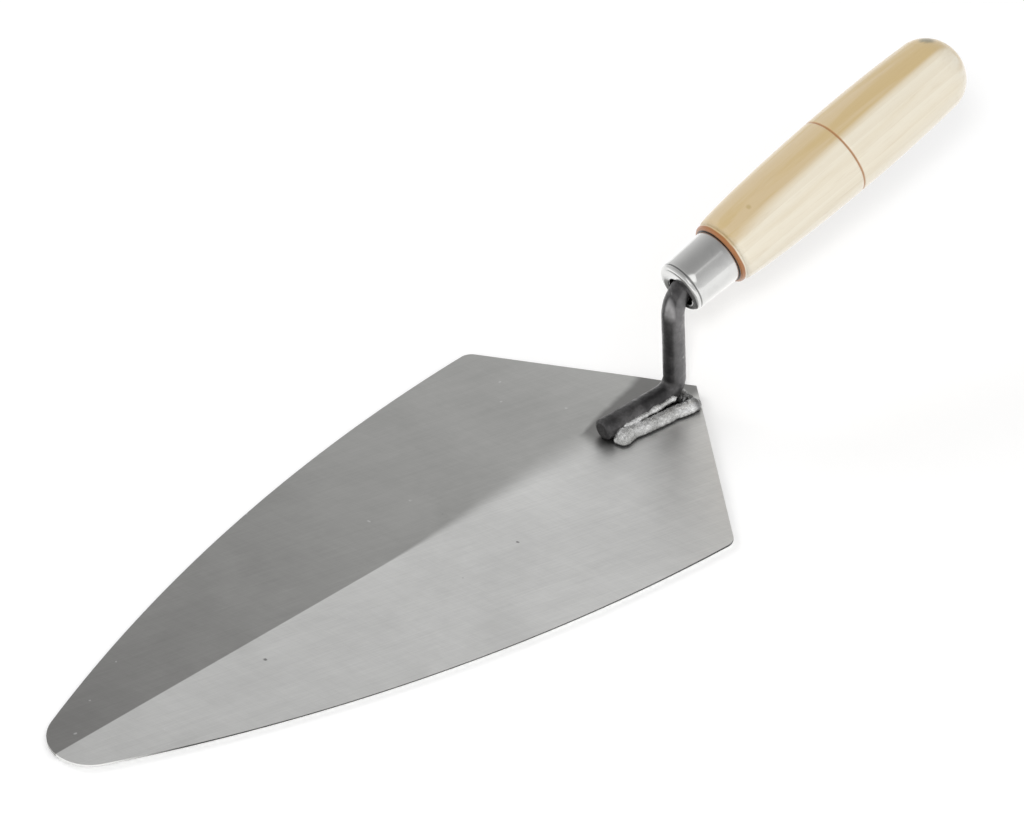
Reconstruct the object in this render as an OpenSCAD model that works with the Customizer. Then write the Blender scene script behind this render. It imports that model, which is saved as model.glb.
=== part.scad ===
// Brick trowel: a taper-ground triangular blade, a bent round tang welded on its heel,
// and a turned wooden grip held by a metal ferrule.
// The blade's underside is z = 0 and its tip points to +X.
// x = 0 lies where the tang's post meets the line of its foot.

/* [Blade] */
// Length of the blade, heel corner to nose
blade_len = 280; // [240:1:340]
// Width of the blade across its shoulders
blade_w = 137; // [110:1:165]
// Distance from the heel corner to the line between the shoulders
heel_len = 46; // [36:1:60]
// Angle at which each long edge leaves its shoulder, towards the middle
flare_angle = 2.5; // [1:0.5:5]
// Radius of the round nose
nose_r = 15; // [8:0.5:20]
// Radius of the rounded shoulders
shoulder_r = 5; // [2:0.5:10]
// Thickness of the ground edge
edge_t = 0.8; // [0.6:0.1:1.4]
// Thickness of the flat land that the ridge runs into, under the tang
land_t = 2.3; // [1.8:0.1:3.2]
// How far above the land the two ground faces would meet at the shoulder line
ridge_over = 0.2; // [0.1:0.05:0.6]

/* [Tang] */
// Diameter of the round bar
bar_d = 8; // [7:0.5:11]
// Distance from the heel corner to the post
heel_set = 10.2; // [9:0.2:16]
// Length of the foot in front of the post
foot_len = 34; // [28:1:50]
// Height of the bend's corner, where the post meets the grip's axis
lift = 48.3; // [42:0.1:65]
// Forward lean of the post
post_lean = 2.4; // [0:0.2:5]
// Bend radius of the bar's centre line at the foot
foot_bend_r = 6; // [5.5:0.5:10]
// Bend radius of the bar's centre line under the ferrule
neck_bend_r = 11; // [9:0.5:12]
// Length of the full-size bar inside the grip before it tapers
spike_full = 24; // [18:1:40]
// Chamfer on the cut end of the foot
bar_round = 0.8; // [0.4:0.1:1.5]
// Length of the tapered spike
spike_taper = 58; // [40:1:66]
// Diameter of the spike's blunt point
spike_tip_d = 3.5; // [2:0.5:6]

/* [Welds] */
// Radius of the near long bead, and of the bead behind the post
weld_r = 2.8; // [2.4:0.1:4]
// Radius of the blob at the front of the near bead
weld_blob_r = 3.6; // [3:0.1:5]
// Radius of the thinner far long bead
far_weld_r = 2.3; // [2:0.1:3.4]
// How far the front of each long bead stays behind the end of the foot
weld_setback = 4; // [1:0.5:10]
// Distance of a long bead's centre from the bar's flank, at its front
weld_off = 0.3; // [0:0.1:1.5]
// How far the long beads run behind the post's foot
weld_heel_end = 2; // [0:0.5:4]
// Outward slant of the long beads from front to heel
weld_slant = 5; // [0:0.5:6]
// How far the weld behind the post lies behind the post's line
heel_weld_set = 1.3; // [0.8:0.1:2.5]
// How far the weld behind the post stands out past the bar on each side
heel_weld_side = 1.5; // [0.5:0.1:3]

/* [Ferrule] */
// Distance from the bend's corner to the ferrule's front
neck_gap = 2.9; // [2:0.1:5]
// Length of the ferrule
ferrule_len = 19.4; // [15:0.2:30]
// How much wider the ferrule is at the wood than at its front
ferrule_flare = 1.4; // [0.6:0.1:2.4]
// Wall of the ferrule
ferrule_wall = 1.2; // [0.8:0.1:1.6]
// Clearance between the bending bar and the opening in the ferrule's lip
lip_gap = 0.27; // [0.1:0.01:0.6]
// Width of the rolled front lip
lip_w = 2.2; // [1.8:0.1:3]
// Radius of the rolled front lip
lip_r = 1.6; // [0.8:0.1:1.8]
// Depth of the groove behind the rolled front lip
lip_groove = 0.25; // [0.1:0.05:0.4]
// How far the cone inside the ferrule stops short of the wood's tenon
cone_gap = 1; // [0.6:0.1:2]

/* [Grip] */
// Angle at which the grip rises from the blade
grip_rise = 15.5; // [10:0.5:22]
// Length of the wood behind the ferrule
grip_len = 115.5; // [104:0.5:140]
// How far the turned bead next to the ferrule stands above the metal
bead_step = 1.6; // [1:0.1:2.4]
// Width of that bead
bead_w = 2.4; // [1.8:0.2:4]
// Distance over which the bead runs out into the neck
bead_run_out = 0.7; // [0.4:0.1:1.5]
// How far the neck behind the bead stands above the bead
neck_step = 0.2; // [-0.6:0.1:0.8]
// How much the grip swells from that neck to its largest diameter
belly_swell = 6; // [4:0.5:9]
// Distance from the ferrule to the largest diameter
belly_at = 66; // [55:1:80]
// How much the grip narrows from there to the butt
butt_narrow = 2.2; // [1:0.1:5]
// Length of the domed butt
butt_len = 13; // [8:1:18]
// Distance from the ferrule to the turned ring
ring_at = 56; // [40:1:70]
// Width of the turned ring's groove
ring_w = 1.2; // [0.8:0.1:2]
// Depth of the turned ring's groove
ring_deep = 0.4; // [0.2:0.1:0.8]
// How far the wood's tenon starts behind the end of the bar's bend
tenon_gap = 2.2; // [1.5:0.1:4]
// Clearance between the spike and its hole in the wood
spike_gap = 0.1; // [0.05:0.05:0.3]

/* [Hidden] */
$fn = 96;
weld_fn = 48;
bar_sides = 24;
// Steps along each arc
shoulder_steps = 10;
edge_steps = 40;
nose_steps = 14;
foot_steps = 12;
neck_steps = 10;
lip_steps = 8;
swell_steps = 16;
dome_step = 6;
// How fast the grip swells behind its neck and narrows towards its butt
swell_power = 0.6;
narrow_power = 2;
// Share of a full half turn that the turned bead covers before the neck
bead_to = 70;

// Blade plan: half outline built from arcs that meet smoothly
heel_x = -heel_set;
half_w = blade_w / 2;
shoulder_x = heel_x + heel_len;
nose_x = heel_x + blade_len - nose_r;
run_x = shoulder_x - nose_x;
// Radius of the long edges: through the shoulder, tangent to the nose
edge_r = (run_x * run_x + half_w * half_w - nose_r * nose_r)
    / (2 * (run_x * sin(flare_angle) + half_w * cos(flare_angle) - nose_r));
edge_cx = shoulder_x - edge_r * sin(flare_angle);
edge_cy = half_w - edge_r * cos(flare_angle);
// Angles, from +X, at which the long edge's arc starts and ends
nose_angle = atan2(-edge_cy, nose_x - edge_cx);
// Heel edge: its direction and the centre of the shoulder's round
heel_angle = atan2(half_w, heel_len);
corner_d = edge_r - shoulder_r;
// Distance of the long edge's centre from the heel edge's line, inwards
centre_off = (edge_cx - heel_x) * sin(heel_angle) - edge_cy * cos(heel_angle);
centre_along = (edge_cx - heel_x) * cos(heel_angle) + edge_cy * sin(heel_angle);
round_along = centre_along
    + sqrt(corner_d * corner_d - (shoulder_r - centre_off) * (shoulder_r - centre_off));
round_x = heel_x + round_along * cos(heel_angle) + shoulder_r * sin(heel_angle);
round_y = round_along * sin(heel_angle) - shoulder_r * cos(heel_angle);
round_angle = atan2(round_y - edge_cy, round_x - edge_cx);
// Chord of the long edge, which the ground faces follow
chord_angle = atan2(half_w - nose_r, shoulder_x - nose_x);
face_angle = atan((land_t + ridge_over - edge_t) / (half_w * -cos(chord_angle)));

// Tang: corners of its centre line, in the x-z plane
foot_z = land_t + bar_d / 2;
neck_x = (lift - foot_z) * tan(post_lean);
foot_turn = 90 + post_lean;
foot_cut = foot_bend_r * tan(foot_turn / 2);
neck_turn = 90 - grip_rise + post_lean;
neck_cut = neck_bend_r * tan(neck_turn / 2);
neck_cx = neck_x - neck_cut * sin(post_lean) - neck_bend_r * cos(post_lean);
neck_cz = lift - neck_cut * cos(post_lean) + neck_bend_r * sin(post_lean);

// Stations along the grip's axis, measured from the bend's corner
ferrule_at = neck_gap;
wood_at = ferrule_at + ferrule_len;
tenon_at = neck_cut + tenon_gap;
spike_taper_at = neck_cut + spike_full;
spike_end = spike_taper_at + spike_taper;

// Diameters that follow the bar: the lip clears the inside of the bend where the ferrule starts
bend_low = neck_bend_r - sqrt((neck_bend_r - bar_d / 2) ^ 2 - (neck_cut - neck_gap) ^ 2);
lip_hole_r = bend_low + lip_gap;
front_r = lip_hole_r + lip_w;
back_r = front_r + ferrule_flare / 2;
tenon_r = back_r - ferrule_wall;
bead_r = back_r + bead_step;
neck_r = bead_r + neck_step;
belly_r = neck_r + belly_swell / 2;
butt_r = belly_r - butt_narrow / 2;
neck_at = bead_w + bead_run_out;
dome_at = grip_len - butt_len;

function arc(cx, cy, r, a0, a1, n) =
    [for (i = [0:n]) [cx + r * cos(a0 + (a1 - a0) * i / n), cy + r * sin(a0 + (a1 - a0) * i / n)]];

function half_outline() = concat(
    [[heel_x, 0]],
    arc(round_x, round_y, shoulder_r, heel_angle + 90, round_angle, shoulder_steps),
    arc(edge_cx, edge_cy, edge_r, round_angle, nose_angle, edge_steps),
    arc(nose_x, 0, nose_r, nose_angle, 0, nose_steps)
);

// Places children with +Z along the grip's axis, from the bend's corner
module along_grip() {
    translate([neck_x, 0, lift]) rotate([0, grip_rise - 90, 0]) children();
}

module blade_plan() {
    side = half_outline();
    last = len(side) - 1;
    polygon(concat(side, [for (i = [1:last - 1]) [side[last - i].x, -side[last - i].y]]));
}

// Everything above one ground face, to be cut away
module face_cutter() {
    reach = 2 * blade_len;
    translate([shoulder_x, half_w, edge_t]) rotate([0, 0, chord_angle + 180])
        rotate([-face_angle, 0, 0]) translate([-reach, -reach, 0]) cube([2 * reach, 2 * reach, reach]);
}

// Centre line of the bar from foot to spike point: x, z, direction angle in the x-z plane, radius
function turn_stations(cx, cz, bend_r, a0, turn, side, n) =
    [for (i = [0:n]) let (a = a0 + turn * i / n)
        [cx + bend_r * cos(a), cz + bend_r * sin(a), a + 90 * side, bar_d / 2]];

function grip_station(s, r) = [neck_x - s * cos(grip_rise), lift + s * sin(grip_rise), 180 - grip_rise, r];

function tang_stations() = concat(
    [[foot_len, foot_z, 180, bar_d / 2 - bar_round], [foot_len - bar_round, foot_z, 180, bar_d / 2]],
    turn_stations(foot_cut, foot_z + foot_bend_r, foot_bend_r, 270, -foot_turn, -1, foot_steps),
    turn_stations(neck_cx, neck_cz, neck_bend_r, -post_lean, neck_turn, 1, neck_steps),
    [grip_station(spike_taper_at, bar_d / 2), grip_station(spike_end, spike_tip_d / 2)]
);

// A round bar swept along stations, as one closed surface
module swept_bar(stations, sides) {
    last = len(stations) - 1;
    points = [
        for (p = stations, i = [0:sides - 1]) let (a = 360 * i / sides)
            [p[0] - p[3] * cos(a) * sin(p[2]), p[3] * sin(a), p[1] + p[3] * cos(a) * cos(p[2])]
    ];
    walls = [
        for (j = [0:last - 1], i = [0:sides - 1]) let (k = (i + 1) % sides)
            [j * sides + i, j * sides + k, (j + 1) * sides + k, (j + 1) * sides + i]
    ];
    start_cap = [for (i = [sides - 1:-1:0]) i];
    end_cap = [for (i = [0:sides - 1]) last * sides + i];
    polyhedron(points, concat([start_cap], walls, [end_cap]), convexity = 4);
}

// The exact round bar round the heel bend, for what is welded to it
module foot_bend() {
    translate([foot_cut, 0, foot_z + foot_bend_r]) rotate([90, 0, 0]) rotate([0, 0, 180 - post_lean])
        rotate_extrude(angle = foot_turn) translate([foot_bend_r, 0]) circle(d = bar_d, $fn = weld_fn);
}

// The straight stretch inside the grip, with gap added all round
module spike(gap) {
    along_grip() {
        translate([0, 0, neck_cut]) cylinder(d = bar_d + 2 * gap, h = spike_full, $fn = weld_fn);
        translate([0, 0, spike_taper_at])
            cylinder(d1 = bar_d + 2 * gap, d2 = spike_tip_d + 2 * gap, h = spike_taper, $fn = weld_fn);
    }
}

module bead_run(run_r, blob_r) {
    start_x = foot_len - weld_setback;
    run = start_x + weld_heel_end;
    translate([start_x, bar_d / 2 + weld_off, land_t + run_r / 2]) rotate([0, 0, 180 - weld_slant]) {
        rotate([0, 90, 0]) cylinder(r = run_r, h = run, $fn = weld_fn);
        sphere(r = blob_r, $fn = weld_fn);
    }
}

module near_run() {
    bead_run(weld_r, weld_blob_r);
}

module far_run() {
    mirror([0, 1, 0]) bead_run(far_weld_r, far_weld_r + weld_blob_r - weld_r);
}

// The space under the land's top, where no weld may reach
module land_block() {
    translate([heel_x - foot_len, -half_w, -land_t]) cube([3 * foot_len, blade_w, 2 * land_t]);
}

// What a long bead is pressed against: the land's top and the straight foot
module weld_seat() {
    land_block();
    translate([foot_len, 0, foot_z]) rotate([0, -90, 0]) cylinder(d = bar_d, h = 2 * foot_len, $fn = weld_fn);
}

module blade() {
    color("silver") difference() {
        linear_extrude(land_t) blade_plan();
        face_cutter();
        mirror([0, 1, 0]) face_cutter();
    }
}

module tang() {
    color("dimgray") swept_bar(tang_stations(), bar_sides);
}

module weld_near() {
    color("gainsboro") difference() {
        near_run();
        weld_seat();
    }
}

module weld_far() {
    color("gainsboro") difference() {
        far_run();
        weld_seat();
    }
}

module weld_heel() {
    color("gainsboro") difference() {
        translate([-heel_weld_set, 0, land_t + weld_r / 2]) rotate([90, 0, 0])
            cylinder(r = weld_r, h = bar_d + 2 * heel_weld_side, center = true, $fn = weld_fn);
        land_block();
        foot_bend();
        near_run();
        far_run();
    }
}

module ferrule() {
    color("lightgray") along_grip() rotate_extrude() polygon(concat(
        [[lip_hole_r, ferrule_at]],
        arc(front_r - lip_r, ferrule_at + lip_r, lip_r, -90, 0, lip_steps),
        [
            [front_r - lip_groove, ferrule_at + lip_r + lip_groove],
            [front_r, ferrule_at + lip_r + 2 * lip_groove],
            [back_r, wood_at],
            [tenon_r, wood_at],
            [tenon_r, tenon_at - cone_gap],
            [lip_hole_r, ferrule_at + ferrule_wall]
        ]
    ));
}

// Radius of the swelling grip at a distance behind the ferrule
function swell(s) = s < belly_at
    ? neck_r + (belly_r - neck_r) * sin(90 * (s - bead_w) / (belly_at - bead_w)) ^ swell_power
    : belly_r - (belly_r - butt_r) * ((s - belly_at) / (dome_at - belly_at)) ^ narrow_power;

// The swelling outline between two distances behind the ferrule
function swell_run(s0, s1) =
    [for (i = [0:swell_steps]) let (s = s0 + (s1 - s0) * i / swell_steps) [swell(s), s]];

function grip_outline() = concat(
    [[0, tenon_at - wood_at], [tenon_r, tenon_at - wood_at], [tenon_r, 0]],
    arc(bead_r - bead_w / 2, bead_w / 2, bead_w / 2, -90, bead_to, lip_steps),
    swell_run(neck_at, ring_at - ring_w),
    [[swell(ring_at) - ring_deep, ring_at]],
    swell_run(ring_at + ring_w, dome_at),
    [for (a = [dome_step:dome_step:90]) [butt_r * cos(a), dome_at + butt_len * sin(a)]]
);

module grip() {
    color("wheat") difference() {
        along_grip() rotate_extrude() translate([0, wood_at]) polygon(grip_outline());
        spike(spike_gap);
    }
}

blade();
tang();
weld_near();
weld_far();
weld_heel();
ferrule();
grip();
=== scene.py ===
import math

import bmesh
import bpy
from mathutils import Matrix, Vector, noise


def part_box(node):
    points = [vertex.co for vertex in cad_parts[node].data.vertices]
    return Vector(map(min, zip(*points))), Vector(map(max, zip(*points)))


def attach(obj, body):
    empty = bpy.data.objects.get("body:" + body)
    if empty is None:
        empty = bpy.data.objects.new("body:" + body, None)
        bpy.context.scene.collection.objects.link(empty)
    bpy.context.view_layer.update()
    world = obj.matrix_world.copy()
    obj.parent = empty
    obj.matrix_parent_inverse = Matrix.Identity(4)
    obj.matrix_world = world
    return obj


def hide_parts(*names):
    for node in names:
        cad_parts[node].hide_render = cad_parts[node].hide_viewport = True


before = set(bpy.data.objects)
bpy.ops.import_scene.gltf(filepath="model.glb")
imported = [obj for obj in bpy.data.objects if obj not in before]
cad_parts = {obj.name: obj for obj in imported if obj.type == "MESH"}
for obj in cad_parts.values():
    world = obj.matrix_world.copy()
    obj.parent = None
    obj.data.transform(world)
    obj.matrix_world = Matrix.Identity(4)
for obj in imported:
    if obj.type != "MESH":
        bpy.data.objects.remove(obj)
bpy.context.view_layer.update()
scene = bpy.context.scene
mm = 0.001
mergeWithin = 1e-6  # metres

# The trowel's layout. The land's height and the bar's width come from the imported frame.
bladeLow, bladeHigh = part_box("blade")
tangLow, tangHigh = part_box("tang")
layout = {
    "gripRise": math.radians(15.5),  # how far the grip tips up from the blade
    "postLean": math.radians(2.4),
    "neckHeight": 48.3 * mm,  # corner where the post meets the grip's axis
    "footBend": 6 * mm,
    "neckBend": 11 * mm,
    "land": bladeHigh.z,  # flat land of the blade under the tang
    "barRadius": (tangHigh.y - tangLow.y) / 2,
}
footZ = layout["land"] + layout["barRadius"]
neckX = (layout["neckHeight"] - footZ) * math.tan(layout["postLean"])
neckCorner = Vector((neckX, 0, layout["neckHeight"]))
gripAxis = Vector((-math.cos(layout["gripRise"]), 0, math.sin(layout["gripRise"])))


def alongGrip(distance, radius=0.0, turn=0.0, drop=0.0):
    side = Vector((0, 1, 0))
    up = gripAxis.cross(side) * -1
    lift = radius * math.cos(turn) - drop
    return neckCorner + gripAxis * distance + up * lift + side * (radius * math.sin(turn))



def meshObject(name, points, faces, material, smooth=True):
    mesh = bpy.data.meshes.new(name)
    mesh.from_pydata([tuple(p) for p in points], [], faces)
    bm = bmesh.new()
    bm.from_mesh(mesh)
    bmesh.ops.remove_doubles(bm, verts=bm.verts, dist=mergeWithin)
    bmesh.ops.recalc_face_normals(bm, faces=bm.faces)
    bm.to_mesh(mesh)
    bm.free()
    for face in mesh.polygons:
        face.use_smooth = smooth
    mesh.materials.append(material)
    piece = bpy.data.objects.new(name, mesh)
    scene.collection.objects.link(piece)
    return piece


def finishPiece(piece, slot, *nodes):
    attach(piece, "root")
    if nodes:
        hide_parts(*nodes)


# Node tree helpers
def feed(tree, socket, value):
    if isinstance(value, bpy.types.NodeSocket):
        tree.links.new(value, socket)
    elif value is not None:
        socket.default_value = value


def put(tree, kind, props=None, **sockets):
    node = tree.nodes.new(kind)
    for key, value in (props or {}).items():
        setattr(node, key, value)
    for name, value in sockets.items():
        feed(tree, node.inputs[name.replace("_", " ")], value)
    return node


def maths(tree, operation, *values, clamp=False):
    node = tree.nodes.new("ShaderNodeMath")
    node.operation = operation
    node.use_clamp = clamp
    for socket, value in zip(node.inputs, values):
        feed(tree, socket, value)
    return node.outputs[0]


def vectorMaths(tree, operation, a, b, output=0):
    node = tree.nodes.new("ShaderNodeVectorMath")
    node.operation = operation
    feed(tree, node.inputs[0], a)
    feed(tree, node.inputs[1], b)
    return node.outputs[output]


def ramp(tree, value, low, high, outLow=0.0, outHigh=1.0, smooth=True):
    node = put(tree, "ShaderNodeMapRange", {"interpolation_type": "SMOOTHSTEP" if smooth else "LINEAR"})
    labels = ("Value", "From Min", "From Max", "To Min", "To Max")
    for label, given in zip(labels, (value, low, high, outLow, outHigh)):
        feed(tree, node.inputs[label], given)
    return node.outputs["Result"]


def blendColour(tree, factor, a, b, mode="MIX"):
    # the Mix node keeps its colours in inputs 6 and 7 and in output 2
    node = put(tree, "ShaderNodeMix", {"data_type": "RGBA", "blend_type": mode})
    feed(tree, node.inputs[0], factor)
    feed(tree, node.inputs[6], a)
    feed(tree, node.inputs[7], b)
    return node.outputs[2]


def grey(level, tint=(1, 1, 1)):
    return (level * tint[0], level * tint[1], level * tint[2], 1)


def newGroup(name, inputs, outputs):
    group = bpy.data.node_groups.new(name, "ShaderNodeTree")
    for label, kind, value in inputs:
        socket = group.interface.new_socket(label, in_out="INPUT", socket_type=kind)
        if value is not None:
            socket.default_value = value
    for label, kind in outputs:
        group.interface.new_socket(label, in_out="OUTPUT", socket_type=kind)
    return group, group.nodes.new("NodeGroupInput"), group.nodes.new("NodeGroupOutput")


def useGroup(tree, group, **sockets):
    node = tree.nodes.new("ShaderNodeGroup")
    node.node_tree = group
    for name, value in sockets.items():
        feed(tree, node.inputs[name.replace("_", " ")], value)
    return node


# Shared effects
effects = {
    "fineWeight": 0.65,
    "broadWeight": 0.35,
    "broadScale": 0.18,  # of the fine lines' scale
    "rag": 0.0012,  # how far a speck's outline is pushed about, in metres
    "ragScale": 6.0,
    "speckLeast": 0.4,
    "speckCore": 0.4,  # share of a speck that has its full tone
}


def grindGroup():
    # long fine scratches that run along one direction, and the cloudy patches between them
    group, gin, gout = newGroup(
        "grindLines",
        [("Vector", "NodeSocketVector", None), ("Angle", "NodeSocketFloat", 0.0),
         ("Fineness", "NodeSocketFloat", 2200.0), ("Stretch", "NodeSocketFloat", 0.03),
         ("Patch Size", "NodeSocketFloat", 30.0)],
        [("Lines", "NodeSocketFloat"), ("Patches", "NodeSocketFloat")],
    )
    turned = put(group, "ShaderNodeVectorRotate", {"rotation_type": "Z_AXIS"},
                 Vector=gin.outputs["Vector"], Angle=gin.outputs["Angle"])
    stretched = put(group, "ShaderNodeCombineXYZ", X=gin.outputs["Stretch"], Y=1.0, Z=gin.outputs["Stretch"])
    place = vectorMaths(group, "MULTIPLY", turned.outputs[0], stretched.outputs[0])
    fine = put(group, "ShaderNodeTexNoise", Vector=place, Scale=gin.outputs["Fineness"],
               Detail=4.0, Roughness=0.65)
    broad = put(group, "ShaderNodeTexNoise", Vector=place, Detail=2.0, Roughness=0.5,
                Scale=maths(group, "MULTIPLY", gin.outputs["Fineness"], effects["broadScale"]))
    lines = maths(group, "ADD", maths(group, "MULTIPLY", fine.outputs[0], effects["fineWeight"]),
                  maths(group, "MULTIPLY", broad.outputs[0], effects["broadWeight"]))
    patches = put(group, "ShaderNodeTexNoise", Vector=gin.outputs["Vector"], Scale=gin.outputs["Patch Size"],
                  Detail=5.0, Roughness=0.6, Distortion=0.6)
    feed(group, gout.inputs["Lines"], lines)
    feed(group, gout.inputs["Patches"], patches.outputs[0])
    return group


def speckGroup():
    # scattered small marks: random cells, of which a share holds one ragged speck
    group, gin, gout = newGroup(
        "scatteredSpecks",
        [("Vector", "NodeSocketVector", None), ("Scale", "NodeSocketFloat", 120.0),
         ("Share", "NodeSocketFloat", 0.1), ("Size", "NodeSocketFloat", 0.12)],
        [("Mask", "NodeSocketFloat")],
    )
    ragged = put(group, "ShaderNodeTexNoise", Vector=gin.outputs["Vector"],
                 Scale=maths(group, "MULTIPLY", gin.outputs["Scale"], effects["ragScale"]), Detail=2.0)
    shifted = put(group, "ShaderNodeVectorMath", {"operation": "MULTIPLY_ADD"})
    feed(group, shifted.inputs[0], ragged.outputs["Color"])
    feed(group, shifted.inputs[1], (effects["rag"],) * 3)
    feed(group, shifted.inputs[2], gin.outputs["Vector"])
    cells = put(group, "ShaderNodeTexVoronoi", Vector=shifted.outputs[0], Scale=gin.outputs["Scale"],
                Randomness=1.0)
    pick = put(group, "ShaderNodeSeparateColor", Color=cells.outputs["Color"])
    chosen = maths(group, "LESS_THAN", pick.outputs[0], gin.outputs["Share"])
    share = maths(group, "ADD", pick.outputs[1], effects["speckLeast"])
    size = maths(group, "MULTIPLY", gin.outputs["Size"], share)
    near = ramp(group, cells.outputs["Distance"], size, maths(group, "MULTIPLY", size, effects["speckCore"]))
    feed(group, gout.inputs["Mask"], maths(group, "MULTIPLY", near, chosen, clamp=True))
    return group


def grimeGroup():
    # soft cloudy dirt with a set reach
    group, gin, gout = newGroup(
        "cloudyGrime",
        [("Vector", "NodeSocketVector", None), ("Scale", "NodeSocketFloat", 60.0),
         ("Level", "NodeSocketFloat", 0.5), ("Softness", "NodeSocketFloat", 0.15)],
        [("Mask", "NodeSocketFloat")],
    )
    cloud = put(group, "ShaderNodeTexNoise", Vector=gin.outputs["Vector"], Scale=gin.outputs["Scale"],
                Detail=6.0, Roughness=0.6, Distortion=0.4)
    low = maths(group, "SUBTRACT", gin.outputs["Level"], gin.outputs["Softness"])
    high = maths(group, "ADD", gin.outputs["Level"], gin.outputs["Softness"])
    feed(group, gout.inputs["Mask"], ramp(group, cloud.outputs[0], low, high))
    return group


grindLines, scatteredSpecks, cloudyGrime = grindGroup(), speckGroup(), grimeGroup()
print("shared effects ready")


def newMaterial(name):
    material = bpy.data.materials.new(name)
    material.use_nodes = True
    tree = material.node_tree
    shader = tree.nodes["Principled BSDF"]
    place = tree.nodes.new("ShaderNodeTexCoord").outputs["Object"]
    split = put(tree, "ShaderNodeSeparateXYZ", Vector=place)
    return material, tree, shader, place, split.outputs


def bump(tree, shader, height, distance, strength=1.0):
    node = put(tree, "ShaderNodeBump", Height=height, Distance=distance, Strength=strength)
    tree.links.new(node.outputs[0], shader.inputs["Normal"])


# Blade: two ground faces that meet in a ridge, which runs into a flat land
bladeLook = {
    # painted light and shade: the near face's tones are painted light, the far face's are painted dark, darkest
    # at the far tip
    "nearLitToneTip": 0.63,
    "nearLitToneHeel": 0.75,
    "farShadedToneTip": 0.262,
    "farShadedToneHeel": 0.51,
    "nearTint": (1, 1, 0.985),
    "farTipTint": (1, 0.99, 0.965),
    "farHeelTint": (1, 1, 0.975),
    "toneTipAt": 250 * mm,
    "nearLitToneHeelAt": 50 * mm,
    "farShadedToneHeelAt": -10 * mm,
    "joinTipAt": 140 * mm,  # the painted light and painted shade meet sharply from here to the nose
    "joinHeelAt": 20 * mm,  # and softly from here to the heel
    "joinSharp": 0.25 * mm,
    "joinFar": 12 * mm,
    "joinNear": 6 * mm,
    "grind": {"Angle": 0.25, "Fineness": 1500.0, "Stretch": 0.05, "Patch_Size": 24.0},
    "crossGrind": {"Angle": 1.35, "Fineness": 1900.0, "Stretch": 0.08, "Patch_Size": 70.0},
    "grindWeight": 0.6,
    "crossWeight": 0.4,
    "noiseSpan": (0.3, 0.7),  # where the noises' values mostly lie
    "lineTones": (0.93, 1.07),
    "patchTones": (0.95, 1.05),
    "darkMarks": {"Scale": 70.0, "Share": 0.5, "Size": 0.06},
    "darkMarkWeight": 0.7,
    "darkMarkTone": grey(0.06),
    "lightNicks": {"Scale": 110.0, "Share": 0.6, "Size": 0.07},
    "lightNickWeight": 0.45,
    "lightNickTone": grey(0.75),
    # painted shadow of the post on the blade, beside the foot
    "postShadowBack": -4 * mm,
    "postShadowFront": 36 * mm,
    "postShadowWide": 21 * mm,
    "postShadowNarrow": 8 * mm,
    "postShadowRagged": 5 * mm,
    "postShadowFade": 0.78,  # share of its reach at which the painted shadow starts to fade
    "postShadowNearSide": (6 * mm, 1 * mm),
    "postShadowEnd": (40 * mm, 34 * mm),
    "postShadowWeight": 0.75,
    "postShadowTone": grey(0.17, (1, 0.985, 0.96)),
    "flankTilt": (0.75, 0.4),  # upward part of the normal at which the plate's side begins
    "flankNose": (262 * mm, 235 * mm),
    # painted shade on the plate's side
    "flankShadeTone": grey(0.05),
    "roughness": 0.38,
    "roughSpread": (-0.03, 0.05),
    "lineRoughness": 0.05,
    "lineDepth": 0.012 * mm,
    "nickDepth": 0.8,  # beside the lines' own depth
    "rim": 0.1 * mm,  # rounding of the plate's edges
    "rimShare": 0.45,  # most of the half width that the rounding may take
    "ease": 0.1 * mm,  # rounding between the ground faces and the land
    "edge": 0.8 * mm,
    "ridgeOver": 0.2 * mm,
    "halfWidth": 68.5 * mm,  # before the shoulders are rounded
    "heelLength": 46 * mm,
    "noseRadius": 15 * mm,
    "shoulderRadius": 5 * mm,
    "flare": math.radians(2.5),
    "across": 40,
    "heelSteps": 36,
    "shoulderSteps": 14,
    "edgeSteps": 110,
    "noseSteps": 28,
}


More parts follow.
